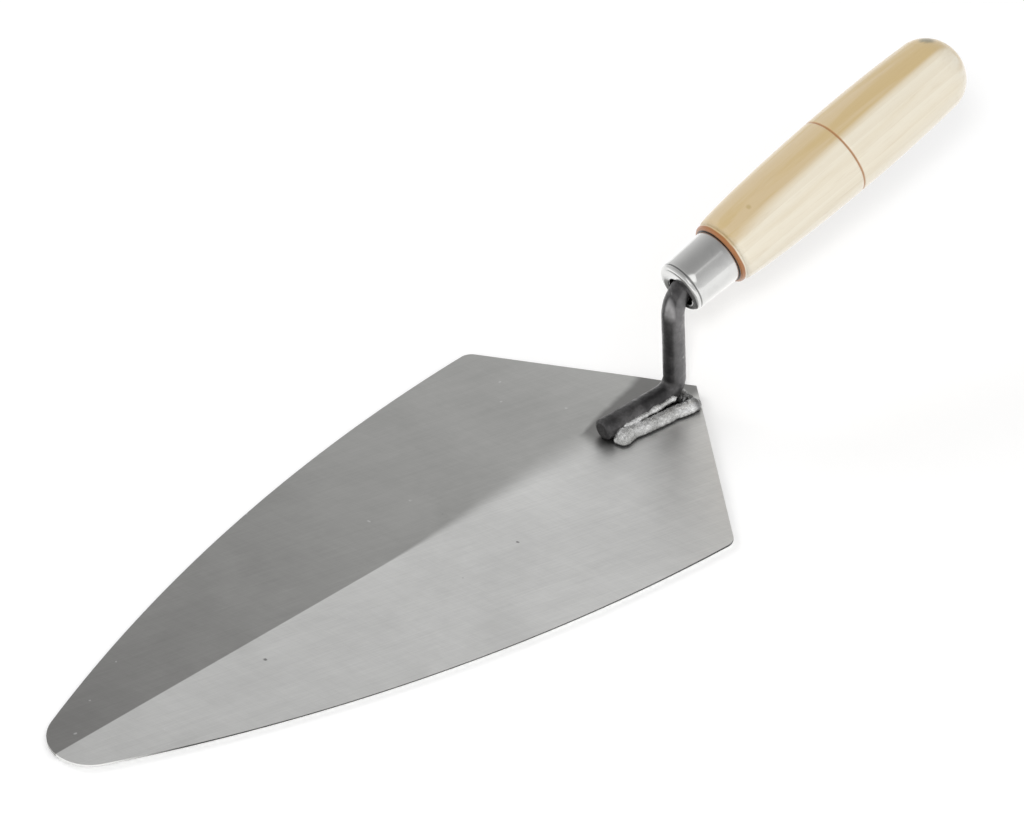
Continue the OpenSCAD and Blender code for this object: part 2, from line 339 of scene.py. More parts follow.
def bladeMaterial():
    material, tree, shader, place, axes = newMaterial("bladeSteel")
    b = bladeLook
    # painted light and shade: the near ground face is painted lighter and the far face darker, as light falls
    # on the two faces
    farJoin = ramp(tree, axes[0], b["joinTipAt"], b["joinHeelAt"], b["joinSharp"], b["joinFar"])
    nearJoin = ramp(tree, axes[0], b["joinTipAt"], b["joinHeelAt"], b["joinSharp"], b["joinNear"])
    side = ramp(tree, axes[1], maths(tree, "MULTIPLY", farJoin, -1.0), nearJoin)
    farShadedTone = blendColour(tree, ramp(tree, axes[0], b["toneTipAt"], b["farShadedToneHeelAt"], smooth=False),
                          grey(b["farShadedToneTip"], b["farTipTint"]), grey(b["farShadedToneHeel"], b["farHeelTint"]))
    nearLitTone = blendColour(tree, ramp(tree, axes[0], b["toneTipAt"], b["nearLitToneHeelAt"], smooth=False),
                           grey(b["nearLitToneTip"], b["nearTint"]), grey(b["nearLitToneHeel"], b["nearTint"]))
    tone = blendColour(tree, side, farShadedTone, nearLitTone)
    grind = useGroup(tree, grindLines, Vector=place, **b["grind"])
    cross = useGroup(tree, grindLines, Vector=place, **b["crossGrind"])
    lines = maths(tree, "ADD", maths(tree, "MULTIPLY", grind.outputs["Lines"], b["grindWeight"]),
                  maths(tree, "MULTIPLY", cross.outputs["Lines"], b["crossWeight"]))
    lineTone = ramp(tree, lines, *b["noiseSpan"], *b["lineTones"])
    tone = blendColour(tree, 1.0, tone, lineTone, "MULTIPLY")
    patchTone = ramp(tree, grind.outputs["Patches"], *b["noiseSpan"], *b["patchTones"])
    tone = blendColour(tree, 1.0, tone, patchTone, "MULTIPLY")
    marks = useGroup(tree, scatteredSpecks, Vector=place, **b["darkMarks"])
    nicks = useGroup(tree, scatteredSpecks, Vector=place, **b["lightNicks"])
    markShare = maths(tree, "MULTIPLY", marks.outputs[0], b["darkMarkWeight"])
    tone = blendColour(tree, markShare, tone, b["darkMarkTone"])
    nickShare = maths(tree, "MULTIPLY", nicks.outputs[0], b["lightNickWeight"])
    tone = blendColour(tree, nickShare, tone, b["lightNickTone"])
    # painted shadow of the post on the blade beside the foot, mostly on its far side
    cloud = maths(tree, "MULTIPLY", maths(tree, "SUBTRACT", grind.outputs["Patches"], 0.5), b["postShadowRagged"])
    farReach = ramp(tree, axes[0], b["postShadowBack"], b["postShadowFront"], b["postShadowWide"], b["postShadowNarrow"],
                    smooth=False)
    farther = maths(tree, "ADD", maths(tree, "MULTIPLY", axes[1], -1.0), cloud)
    beside = maths(tree, "DIVIDE", farther, farReach)
    postShadow = maths(tree, "MULTIPLY", ramp(tree, beside, 1.0, b["postShadowFade"]),
                 ramp(tree, axes[1], *b["postShadowNearSide"]))
    postShadow = maths(tree, "MULTIPLY", postShadow, ramp(tree, maths(tree, "ADD", axes[0], cloud), *b["postShadowEnd"]))
    tone = blendColour(tree, maths(tree, "MULTIPLY", postShadow, b["postShadowWeight"]), tone, b["postShadowTone"])
    # painted shade: the side of the plate is painted much darker than the ground faces, except round the nose
    upward = put(tree, "ShaderNodeSeparateXYZ", Vector=put(tree, "ShaderNodeNewGeometry").outputs["Normal"])
    flank = ramp(tree, maths(tree, "ABSOLUTE", upward.outputs[2]), *b["flankTilt"])
    flank = maths(tree, "MULTIPLY", flank, ramp(tree, axes[0], *b["flankNose"]))
    tone = blendColour(tree, flank, tone, b["flankShadeTone"])
    tree.links.new(tone, shader.inputs["Base Color"])
    shader.inputs["Metallic"].default_value = 1.0
    spread = ramp(tree, cross.outputs["Patches"], *b["noiseSpan"], *b["roughSpread"])
    rough = maths(tree, "ADD", b["roughness"], spread)
    rough = maths(tree, "ADD", rough, maths(tree, "MULTIPLY", lines, b["lineRoughness"]))
    tree.links.new(rough, shader.inputs["Roughness"])
    height = maths(tree, "SUBTRACT", lines, maths(tree, "MULTIPLY", nicks.outputs[0], b["nickDepth"]))
    bump(tree, shader, height, b["lineDepth"])
    return material


def bladeOutline():
    # stations along +X, each with the plate's half width, from the heel corner to the nose
    b = bladeLook
    heelX, halfW = bladeLow.x, b["halfWidth"]
    shoulderX, noseX = heelX + b["heelLength"], bladeHigh.x - b["noseRadius"]
    run, r = shoulderX - noseX, b["noseRadius"]
    edgeR = (run * run + halfW * halfW - r * r) / (
        2 * (run * math.sin(b["flare"]) + halfW * math.cos(b["flare"]) - r))
    edgeX, edgeY = shoulderX - edgeR * math.sin(b["flare"]), halfW - edgeR * math.cos(b["flare"])
    heelAngle = math.atan2(halfW, b["heelLength"])
    s = b["shoulderRadius"]
    off = (edgeX - heelX) * math.sin(heelAngle) - edgeY * math.cos(heelAngle)
    along = (edgeX - heelX) * math.cos(heelAngle) + edgeY * math.sin(heelAngle)
    roundAlong = along + math.sqrt((edgeR - s) ** 2 - (s - off) ** 2)
    roundX = heelX + roundAlong * math.cos(heelAngle) + s * math.sin(heelAngle)
    roundY = roundAlong * math.sin(heelAngle) - s * math.cos(heelAngle)
    roundAngle = math.atan2(roundY - edgeY, roundX - edgeX)
    noseAngle = math.atan2(-edgeY, noseX - edgeX)
    start = Vector((heelX, 0)), Vector((roundX + s * math.cos(heelAngle + math.pi / 2),
                                        roundY + s * math.sin(heelAngle + math.pi / 2)))
    stations = [tuple(start[0].lerp(start[1], i / b["heelSteps"])) for i in range(b["heelSteps"])]

    def arc(cx, cy, radius, a0, a1, steps):
        for i in range(steps + 1):
            a = a0 + (a1 - a0) * i / steps
            stations.append((cx + radius * math.cos(a), cy + radius * math.sin(a)))

    arc(roundX, roundY, s, heelAngle + math.pi / 2, roundAngle, b["shoulderSteps"])
    arc(edgeX, edgeY, edgeR, roundAngle, noseAngle, b["edgeSteps"])
    arc(noseX, 0, r, noseAngle, 0, b["noseSteps"])
    chord = Vector((noseX - shoulderX, r - halfW)).normalized()
    slope = (layout["land"] + b["ridgeOver"] - b["edge"]) / (halfW * chord.x)
    return stations, chord, Vector((shoulderX, halfW)), slope


def makeBlade(material):
    b = bladeLook
    stations, chord, anchor, slope = bladeOutline()
    land = layout["land"]

    def topAt(x, y):
        # height of the ground face, eased into the land where the ridge runs out
        inward = (x - anchor.x) * chord.y - (abs(y) - anchor.y) * chord.x
        face = b["edge"] + slope * inward
        ease = b["ease"]
        gap = max(0.0, ease - abs(face - land)) / ease
        return min(face, land) - gap * gap * ease / 4

    shares = [math.sin(math.pi / 2 * i / b["across"]) for i in range(-b["across"], b["across"] + 1)]
    rows, points = [], []
    for x, half in stations:
        rim = min(b["rim"], half * b["rimShare"])
        inner = half - rim
        ring = []
        for share in shares:
            ring.append((x, inner * share, topAt(x, inner * share)))
        edgeTop = topAt(x, half)
        for turn in (30, 60, 90):
            a = math.radians(turn)
            ring.append((x, inner + rim * math.sin(a), edgeTop - b["rim"] * (1 - math.cos(a))))
        for turn in (0, 30, 60, 90):
            a = math.radians(turn)
            ring.append((x, inner + rim * math.cos(a), b["rim"] * (1 - math.sin(a))))
        for share in (0.6, 0.0, -0.6):
            ring.append((x, inner * share, 0.0))
        for turn in (90, 60, 30, 0):
            a = math.radians(turn)
            ring.append((x, -inner - rim * math.cos(a), b["rim"] * (1 - math.sin(a))))
        for turn in (90, 60, 30):
            a = math.radians(turn)
            ring.append((x, -inner - rim * math.sin(a), edgeTop - b["rim"] * (1 - math.cos(a))))
        rows.append([len(points) + i for i in range(len(ring))])
        points += ring
    faces = []
    for one, two in zip(rows, rows[1:]):
        for i in range(len(one)):
            k = (i + 1) % len(one)
            faces.append((one[i], one[k], two[k], two[i]))
    finishPiece(meshObject("bladePlate", points, faces, material), "blade_steel", "blade")


makeBlade(bladeMaterial())
print("blade done")


# Geometry nodes helpers: a tube along a path, shaped by named inputs
def pathCurve(name, points, radii):
    data = bpy.data.curves.new(name, "CURVE")
    data.dimensions = "3D"
    spline = data.splines.new("POLY")
    spline.points.add(len(points) - 1)
    for node, point, radius in zip(spline.points, points, radii):
        node.co = (*point, 1)
        node.radius = radius
    holder = bpy.data.objects.new(name, data)
    scene.collection.objects.link(holder)
    return holder


def newGeometryTree(name, inputs):
    tree = bpy.data.node_groups.new(name, "GeometryNodeTree")
    tree.interface.new_socket("Geometry", in_out="INPUT", socket_type="NodeSocketGeometry")
    for label, kind in inputs:
        tree.interface.new_socket(label, in_out="INPUT", socket_type=kind)
    tree.interface.new_socket("Geometry", in_out="OUTPUT", socket_type="NodeSocketGeometry")
    return tree, tree.nodes.new("NodeGroupInput"), tree.nodes.new("NodeGroupOutput")


def sweptTree():
    # sweeps a round bar along the path, then presses waves and dents into its skin
    rippleSwing = 3.0  # how many waves the dents shift the ripple by
    tree, gin, gout = newGeometryTree("sweptBar", [
        ("Sides", "NodeSocketInt"), ("Step", "NodeSocketFloat"), ("Ripple Pitch", "NodeSocketFloat"),
        ("Ripple Height", "NodeSocketFloat"), ("Dent Scale", "NodeSocketFloat"),
        ("Dent Depth", "NodeSocketFloat"),
        ("Seed", "NodeSocketFloat"), ("Material", "NodeSocketMaterial")])
    path = put(tree, "GeometryNodeResampleCurve", {"mode": "LENGTH"},
               Curve=gin.outputs["Geometry"], Length=gin.outputs["Step"])
    section = put(tree, "GeometryNodeCurvePrimitiveCircle", Resolution=gin.outputs["Sides"], Radius=1.0)
    along = put(tree, "GeometryNodeSplineParameter")
    stored = put(tree, "GeometryNodeCaptureAttribute", {"domain": "POINT"}, Geometry=path.outputs[0])
    stored.capture_items.new("FLOAT", "Along")
    feed(tree, stored.inputs["Along"], along.outputs["Length"])
    sweep = put(tree, "GeometryNodeCurveToMesh", Curve=stored.outputs[0], Profile_Curve=section.outputs[0])
    sweep.inputs["Fill Caps"].default_value = True
    if "Scale" in sweep.inputs:
        feed(tree, sweep.inputs["Scale"], put(tree, "GeometryNodeInputRadius").outputs[0])
    spot = put(tree, "GeometryNodeInputPosition").outputs[0]
    dents = put(tree, "ShaderNodeTexNoise", {"noise_dimensions": "4D"}, Vector=spot, W=gin.outputs["Seed"],
                Scale=gin.outputs["Dent Scale"], Detail=3.0, Roughness=0.6)
    dent = maths(tree, "MULTIPLY", maths(tree, "SUBTRACT", dents.outputs[0], 0.5), gin.outputs["Dent Depth"])
    wave = maths(tree, "DIVIDE", stored.outputs["Along"], gin.outputs["Ripple Pitch"])
    swing = maths(tree, "MULTIPLY", maths(tree, "SUBTRACT", dents.outputs[0], 0.5), rippleSwing)
    wave = maths(tree, "SINE", maths(tree, "MULTIPLY", maths(tree, "ADD", wave, swing), 2 * math.pi))
    lift = maths(tree, "ADD", dent, maths(tree, "MULTIPLY", wave, gin.outputs["Ripple Height"]))
    offset = put(tree, "ShaderNodeVectorMath", {"operation": "SCALE"},
                 Vector=put(tree, "GeometryNodeInputNormal").outputs[0], Scale=lift)
    pressed = put(tree, "GeometryNodeSetPosition", Geometry=sweep.outputs[0], Offset=offset.outputs[0])
    soft = put(tree, "GeometryNodeSetShadeSmooth", Geometry=pressed.outputs[0])
    real = put(tree, "GeometryNodeRealizeInstances", Geometry=soft.outputs[0])
    painted = put(tree, "GeometryNodeSetMaterial", Geometry=real.outputs[0], Material=gin.outputs["Material"])
    feed(tree, gout.inputs["Geometry"], painted.outputs[0])
    return tree


def socketId(tree, label):
    return next(item.identifier for item in tree.interface.items_tree
                if item.item_type == "SOCKET" and item.in_out == "INPUT" and item.name == label)


def grow(name, holder, tree, settings, material):
    modifier = holder.modifiers.new("shape", "NODES")
    modifier.node_group = tree
    for label, value in settings.items():
        modifier[socketId(tree, label)] = value
    modifier[socketId(tree, "Material")] = material
    bpy.context.view_layer.update()
    evaluated = holder.evaluated_get(bpy.context.evaluated_depsgraph_get())
    mesh = bpy.data.meshes.new_from_object(evaluated)
    mesh.name = name
    if material.name not in [m.name for m in mesh.materials if m]:
        mesh.materials.clear()
        mesh.materials.append(material)
    piece = bpy.data.objects.new(name, mesh)
    scene.collection.objects.link(piece)
    bpy.data.objects.remove(holder)
    return piece


sweptBar = sweptTree()

# Tang: one bent bar from the foot to the spike inside the wood
tangShape = {
    "footLength": 34 * mm,
    "spikeFull": 24 * mm,
    "spikeTaper": 58 * mm,
    "spikeTip": 1.75 * mm,
    "endRound": 1.3 * mm,
    "endSteps": 7,
    "bendSteps": 16,
    "sides": 40,
    "step": 0.6 * mm,
    "dentScale": 150.0,
    "dentDepth": 0.35 * mm,
    # painted light on the bar's lit side and a painted highlight on the neck
    "litSide": (2.5 * mm, 3.3 * mm),
    "litSideHeight": (9 * mm, 14 * mm),
    "litSideWeight": 0.25,
    "neckHighlightAhead": (2.6 * mm, 4.2 * mm),
    "neckHighlightSide": (-0.6 * mm, 0.6 * mm),
    "neckHighlightHeight": (38 * mm, 42 * mm),
}
metalLook = {
    "grime": {"Level": 0.52, "Softness": 0.16},
    "fine": {"Level": 0.5, "Softness": 0.2},
    "fineScale": 6,  # beside the grime's
    "fineWeight": 0.45,
    "specks": {"Scale": 420.0, "Share": 0.12, "Size": 0.25},
    "speckWeight": 0.6,
    "fineRoughness": 0.16,
    "grimeHeight": 0.7,
}


def metalMaterial(name, tones, roughness, metallic, grimeScale, depth, extra):
    # unground metal: clouds of a second tone, a fine mottle and specks, then the extra mask's tone: painted
    # light on the tang, and on the weld painted shade at its foot and a dark heel end
    material, tree, shader, place, axes = newMaterial(name)
    m = metalLook
    grime = useGroup(tree, cloudyGrime, Vector=place, Scale=grimeScale, **m["grime"])
    fine = useGroup(tree, cloudyGrime, Vector=place, Scale=grimeScale * m["fineScale"], **m["fine"])
    specks = useGroup(tree, scatteredSpecks, Vector=place, **m["specks"])
    tone = blendColour(tree, grime.outputs[0], tones[0], tones[1])
    tone = blendColour(tree, maths(tree, "MULTIPLY", fine.outputs[0], m["fineWeight"]), tone, tones[2])
    tone = blendColour(tree, maths(tree, "MULTIPLY", specks.outputs[0], m["speckWeight"]), tone, tones[3])
    mask, colour = extra
    tone = blendColour(tree, mask(tree, axes), tone, colour)
    tree.links.new(tone, shader.inputs["Base Color"])
    shader.inputs["Metallic"].default_value = metallic
    rough = maths(tree, "ADD", roughness, maths(tree, "MULTIPLY", fine.outputs[0], m["fineRoughness"]))
    tree.links.new(rough, shader.inputs["Roughness"])
    height = maths(tree, "ADD", fine.outputs[0], maths(tree, "MULTIPLY", grime.outputs[0], m["grimeHeight"]))
    bump(tree, shader, height, depth)
    return material


def tangPath():
    t = tangShape
    radius, lean, rise = layout["barRadius"], layout["postLean"], layout["gripRise"]
    footTurn, neckTurn = math.pi / 2 + lean, math.pi / 2 - rise + lean
    footCut = layout["footBend"] * math.tan(footTurn / 2)
    neckCut = layout["neckBend"] * math.tan(neckTurn / 2)
    points, radii = [], []
    for i in range(t["endSteps"] + 1):
        a = i / t["endSteps"] * math.pi / 2
        points.append(Vector((t["footLength"] - t["endRound"] * (1 - math.cos(a)), 0, footZ)))
        radii.append(radius - t["endRound"] * (1 - math.sin(a)))
    centre = Vector((footCut, 0, footZ + layout["footBend"]))
    for i in range(t["bendSteps"] + 1):
        a = math.radians(270) - footTurn * i / t["bendSteps"]
        points.append(centre + Vector((math.cos(a), 0, math.sin(a))) * layout["footBend"])
        radii.append(radius)
    postLine = Vector((math.sin(lean), 0, math.cos(lean)))
    inward = Vector((-math.cos(lean), 0, math.sin(lean)))
    centre = neckCorner - postLine * neckCut + inward * layout["neckBend"]
    for i in range(t["bendSteps"] + 1):
        a = -lean + neckTurn * i / t["bendSteps"]
        points.append(centre + Vector((math.cos(a), 0, math.sin(a))) * layout["neckBend"])
        radii.append(radius)
    for distance, r in ((neckCut + t["spikeFull"], radius),
                        (neckCut + t["spikeFull"] + t["spikeTaper"], t["spikeTip"])):
        points.append(neckCorner + gripAxis * distance)
        radii.append(r)
    return points, radii


def tangPaintedLight(tree, axes):
    # painted light: the bar's side towards the light is painted brighter, with a painted highlight at the top
    # of the neck
    t = tangShape
    side = maths(tree, "MULTIPLY", ramp(tree, axes[1], *t["litSide"]),
                 ramp(tree, axes[2], *t["litSideHeight"]))
    neck = maths(tree, "MULTIPLY", ramp(tree, axes[0], *t["neckHighlightAhead"]),
                 ramp(tree, axes[1], *t["neckHighlightSide"]))
    neck = maths(tree, "MULTIPLY", neck, ramp(tree, axes[2], *t["neckHighlightHeight"]))
    return maths(tree, "MAXIMUM", maths(tree, "MULTIPLY", side, t["litSideWeight"]), neck)


tangTones = (grey(0.045, (1, 0.97, 1)), grey(0.12, (1, 0.97, 0.98)), grey(0.03), grey(0.3))
# the extra tone is painted light on the bar's lit side and neck
tangSteel = metalMaterial("tangScale", tangTones, roughness=0.3, metallic=0.85, grimeScale=90.0,
                          depth=0.05 * mm, extra=(tangPaintedLight, grey(0.3, (1, 0.98, 0.99))))
tangPoints, tangRadii = tangPath()
tang = grow("tangBar", pathCurve("tangLine", tangPoints, tangRadii), sweptBar, {
    "Sides": tangShape["sides"], "Step": tangShape["step"], "Ripple Pitch": 1.0, "Ripple Height": 0.0,
    "Dent Scale": tangShape["dentScale"], "Dent Depth": tangShape["dentDepth"], "Seed": 3.0}, tangSteel)
finishPiece(tang, "tang_steel", "tang")
print("tang done")

# Welds: a long bead on each side of the foot, one round the heel and a thin one on the bar's near side
land = layout["land"]
bar = layout["barRadius"]
weldShape = {
    "ripplePitch": 2.1 * mm,
    "rippleHeight": 0.045 * mm,
    "dentScale": 300.0,
    "dentDepth": 1.1 * mm,
    "sides": 28,
    "step": 0.35 * mm,
    "sunk": 1 * mm,  # a weld's lowest point, inside the plate
    # painted shade along the weld's foot, and a dark heel end
    "footShade": (land + 1.3 * mm, land + 0.5 * mm),
    "heelEndDark": (1.5 * mm, -1.5 * mm),
    "heelEndDarkWeight": 0.8,
    "wander": 0.5 * mm,
    "wanderPitch": 6.1,
    "wanderSeed": 900,
    "radius": 2.7,  # mm, as are the next three
    "blobExtra": 1.0,
    "thinRadius": 1.2,
    "thinSpread": 0.5,
    "blobAt": 0.1,  # share of the bead's length, as are the next four
    "blobReach": 0.1,
    "tip": 0.05,
    "tail": 0.03,
    "thinTip": 0.04,
    "tipLeast": 0.02,
    "tailLeast": 0.3,
    "thinLeast": 0.05,
    "thinPitch": 9,
    "thinSeed": 4,
    "thinDents": 0.8,
    "farShare": 0.6,  # of the near bead's thickness
    "heelRadius": 2.6 * mm,
}
weldRuns = {
    "near": ((32.5 * mm, bar + 0.6 * mm, land + 1.3 * mm), (-3.4 * mm, bar + 4.6 * mm, land + 1.3 * mm)),
    "far": ((31 * mm, -bar + 0.4 * mm, land + 0.8 * mm), (-2 * mm, -bar - 1.6 * mm, land + 0.8 * mm)),
    "heel": ((-1.2 * mm, bar + 1.5 * mm, land + 1.2 * mm), (-1.2 * mm, -bar - 1.5 * mm, land + 1.2 * mm)),
    "thin": ((28 * mm, bar * 0.93, land + 4.0 * mm), (3 * mm, bar * 0.98, land + 4.4 * mm)),
}


def weldShade(tree, axes):
    # painted shade along the weld's foot where it meets the plate; the heel end is painted dark too
    w = weldShape
    foot = ramp(tree, axes[2], *w["footShade"])
    return maths(tree, "MAXIMUM", foot, ramp(tree, axes[0], *w["heelEndDark"], 0.0, w["heelEndDarkWeight"]))


weldTones = (grey(0.58, (1, 1, 0.98)), grey(0.9), grey(0.24), grey(0.06))
weldMetal = metalMaterial("weldMetal", weldTones, roughness=0.2, metallic=0.95, grimeScale=160.0,
                          depth=0.12 * mm, extra=(weldShade, grey(0.035)))


def weldPath(start, end, swell, count):
    w = weldShape
    start, end = Vector(start), Vector(end)
    points, radii = [], []
    for i in range(count + 1):
        t = i / count
        drift = noise.noise(Vector((t * w["wanderPitch"] + start.x * w["wanderSeed"], 0, 0)))
        points.append(start.lerp(end, t) + Vector((0, drift * w["wander"], 0)))
        radii.append(swell(t))
    return points, radii


def makeWeld(name, run, swell, count, seed, nodes, scale=1.0):
    w = weldShape
    points, radii = weldPath(*weldRuns[run], swell, count)
    bead = grow(name, pathCurve(name + "Line", points, radii), sweptBar, {
        "Sides": w["sides"], "Step": w["step"], "Ripple Pitch": w["ripplePitch"] * scale,
        "Ripple Height": w["rippleHeight"] * scale, "Dent Scale": w["dentScale"],
        "Dent Depth": w["dentDepth"] * scale, "Seed": seed}, weldMetal)
    for vertex in bead.data.vertices:
        vertex.co.z = max(vertex.co.z, w["sunk"])
    finishPiece(bead, "weld_metal", *nodes)


def nearSwell(t):
    w = weldShape
    blob = math.exp(-((t - w["blobAt"]) / w["blobReach"]) ** 2)
    tip = min(1.0, math.sqrt(max(t, 0.0) / w["tip"] + w["tipLeast"]))
    tail = min(1.0, math.sqrt(max(1 - t, 0.0) / w["tail"] + w["tailLeast"]))
    return (w["radius"] + w["blobExtra"] * blob) * mm * tip * tail


def farSwell(t):
    return nearSwell(t) * weldShape["farShare"]


def heelSwell(t):
    return weldShape["heelRadius"]


def thinSwell(t):
    w = weldShape
    uneven = noise.noise(Vector((t * w["thinPitch"], w["thinSeed"], 0)))
    ends = min(1.0, math.sqrt(min(t, 1 - t) / w["thinTip"] + w["thinLeast"]))
    return (w["thinRadius"] + w["thinSpread"] * uneven) * mm * ends


makeWeld("weldNearBead", "near", nearSwell, 24, 1.0, ("weld_near",))
makeWeld("weldFarBead", "far", farSwell, 24, 5.0, ("weld_far",))
makeWeld("weldHeelBead", "heel", heelSwell, 10, 8.0, ("weld_heel",))
makeWeld("weldToeBead", "thin", thinSwell, 20, 11.0, (), weldShape["thinDents"])
print("welds done")


# The ferrule and the grip are turned round the grip's axis
def turned(name, profile, sides, material):
    points, faces = [], []
    closed = profile[0] == profile[-1]
    rings = profile[:-1] if closed else profile
    for radius, distance, *drop in rings:
        for i in range(sides):
            points.append(alongGrip(distance, radius, 2 * math.pi * i / sides, *drop))
    count = len(rings)
    for j in range(count if closed else count - 1):
        k = (j + 1) % count
        for i in range(sides):
            n = (i + 1) % sides
            faces.append((j * sides + i, j * sides + n, k * sides + n, k * sides + i))
    return meshObject(name, points, faces, material)


ferruleShape = {
    "start": 2.9 * mm,
    "length": 19.4 * mm,
    "frontRadius": 9.6 * mm,
    "backRadius": 10.3 * mm,
    "wall": 1.2 * mm,
    "hole": 5.35 * mm,
    "drop": 2.05 * mm,
    "holeRim": 0.8 * mm,
    "holeRimTo": 0.15,  # share of the front face
    "dish": 0.5 * mm,
    "faceSteps": 12,
    "lip": 1.5 * mm,
    "lipSteps": 9,
    "lipStepTurn": 10,  # degrees
    "groove": 0.3 * mm,
    "grooveRings": ((1.15, 0.8), (1.3, 1), (1.5, 0.3)),  # shares of the lip along, and of the groove deep
    "grooveMiddle": 1.3,
    "tubeFrom": 1.7,
    "tubeOver": 0.05 * mm,
    "tubeSteps": 8,
    "endRound": 0.3 * mm,
    "endSoft": 0.08 * mm,
    "seat": 7 * mm,
    "throat": 3 * mm,
    "throatIn": 0.4 * mm,
    "holeWider": 0.1 * mm,
    "holeDepth": 0.6 * mm,
    "sides": 128,
    "tone": grey(0.56, (1, 1, 0.985)),
    "grime": {"Scale": 110.0, "Level": 0.6, "Softness": 0.14},
    "grimeTone": grey(0.4),
    "grimeWeight": 0.35,
    "seamFrom": 16.8 * mm,
    "seamTone": grey(0.3, (1, 0.9, 0.8)),
    "seamWeight": 0.15,
    "grooveEdge": (0.4 * mm, 0.12 * mm),
    "grooveTone": grey(0.05),
    "grooveWeight": 0.75,
    "roughness": 0.16,
    "grimeRoughness": 0.06,
    "hoopScale": 2600.0,
    "hoopDepth": 0.004 * mm,
}


def ferruleProfile():
    # rings as radius, distance and how far the ring's centre drops: the bar leaves low, so the hole is low
    f = ferruleShape
    front, back, start = f["frontRadius"], f["backRadius"], f["start"]
    end = start + f["length"]
    profile = []
    # the front face, from the hole out to where the lip turns back
    for i in range(1, f["faceSteps"] + 1):
        t = i / f["faceSteps"]
        radius = f["hole"] + (front - f["lip"] - f["hole"]) * t
        bulge = f["dish"] * (1 - math.sin(math.pi / 2 * t)) if t > f["holeRimTo"] else f["holeRim"] * (1 - t)
        profile.append((radius, start + bulge, f["drop"] * (1 - t)))
    for i in range(1, f["lipSteps"] + 1):
        a = math.radians(f["lipStepTurn"] * i)
        profile.append((front - f["lip"] * (1 - math.sin(a)), start + f["lip"] * (1 - math.cos(a)), 0.0))
    for along, deep in f["grooveRings"]:
        profile.append((front - f["groove"] * deep, start + f["lip"] * along, 0.0))
    tubeAt, over = f["lip"] * f["tubeFrom"], f["tubeOver"]
    for i in range(f["tubeSteps"] + 1):
        t = i / f["tubeSteps"]
        profile.append((front + over + (back - front - over) * t,
                        start + tubeAt + (end - f["endRound"] - start - tubeAt) * t, 0.0))
    profile.append((back - f["endSoft"], end - f["endSoft"], 0.0))
    profile.append((back - f["endRound"], end, 0.0))
    profile.append((back - f["wall"], end, 0.0))
    profile.append((back - f["wall"], start + f["seat"], 0.0))
    profile.append((front - f["wall"] - f["throatIn"], start + f["throat"], 0.0))
    profile.append((f["hole"] + f["holeWider"], start + f["wall"] + f["holeDepth"], f["drop"]))
    return profile + profile[:1]


def ferruleMaterial():
    f = ferruleShape
    material, tree, shader, place = newMaterial("ferrulePlate")[:4]
    hoops = put(tree, "ShaderNodeTexNoise", {"noise_dimensions": "1D"}, Scale=f["hoopScale"], Detail=3.0,
                W=vectorMaths(tree, "DOT_PRODUCT", place, tuple(gripAxis), "Value"))
    grime = useGroup(tree, cloudyGrime, Vector=place, **f["grime"])
    dirt = maths(tree, "MULTIPLY", grime.outputs[0], f["grimeWeight"])
    tone = blendColour(tree, dirt, f["tone"], f["grimeTone"])
    distance = vectorMaths(tree, "DOT_PRODUCT",
                           vectorMaths(tree, "SUBTRACT", place, tuple(neckCorner)), tuple(gripAxis), "Value")
    seam = ramp(tree, distance, f["start"] + f["seamFrom"], f["start"] + f["length"])
    tone = blendColour(tree, maths(tree, "MULTIPLY", seam, f["seamWeight"]), tone, f["seamTone"])
    fromGroove = maths(tree, "SUBTRACT", distance, f["start"] + f["lip"] * f["grooveMiddle"])
    groove = ramp(tree, maths(tree, "ABSOLUTE", fromGroove), *f["grooveEdge"])
    tone = blendColour(tree, maths(tree, "MULTIPLY", groove, f["grooveWeight"]), tone, f["grooveTone"])
    tree.links.new(tone, shader.inputs["Base Color"])
    shader.inputs["Metallic"].default_value = 1.0
    rough = maths(tree, "ADD", f["roughness"], maths(tree, "MULTIPLY", grime.outputs[0], f["grimeRoughness"]))
    tree.links.new(rough, shader.inputs["Roughness"])
    bump(tree, shader, hoops.outputs[0], f["hoopDepth"])
    return material


finishPiece(turned("ferruleTube", ferruleProfile(), ferruleShape["sides"], ferruleMaterial()),
            "ferrule_plate", "ferrule")
print("ferrule done")

gripShape = {
    "start": 22.3 * mm,
    "length": 115.5 * mm,
    "beadRadius": 11.9 * mm,
    "beadWidth": 2.4 * mm,
    "neckRadius": 12.1 * mm,
    "bellyRadius": 15.1 * mm,
    "bellyAt": 66 * mm,
    "buttRadius": 14.0 * mm,
    "buttLength": 13 * mm,
    "ringAt": 56 * mm,
    "ringWidth": 0.75 * mm,
    "ringDepth": 0.35 * mm,
    "tenonRadius": 9.1 * mm,
    "tenonStart": -11.4 * mm,
    "hole": 4.3 * mm,
    "holeFull": 10.4 * mm,  # the hole keeps the bar's width this far, then narrows with the spike
    "holeEnd": 68.6 * mm,
    "holeTip": 2.1 * mm,
    "bellyBlunt": 0.6,  # under 1 the wood swells early behind the ferrule
    "ringSoft": 0.6,
    "tenonShort": 0.1 * mm,
    "beadFoot": 0.4 * mm,
    "beadSteps": 12,
    "beadTurn": 165,  # degrees
    "beadGap": 0.7 * mm,
    "step": 1.2 * mm,
    "fineStep": 0.2 * mm,
    "fineReach": 2 * mm,
    "buttSteps": 28,
    "holeCone": 0.4 * mm,
    "sides": 144,
}
gripShape["marks"] = (
    (alongGrip(gripShape["start"] + 15 * mm, 13.6 * mm, math.radians(12)), 1.1 * mm, (0.47, 0.35, 0.16, 1)),
    (alongGrip(gripShape["start"] + 108 * mm, 12.6 * mm, math.radians(-14)), 3.4 * mm, (0.16, 0.15, 0.09, 1)),
)


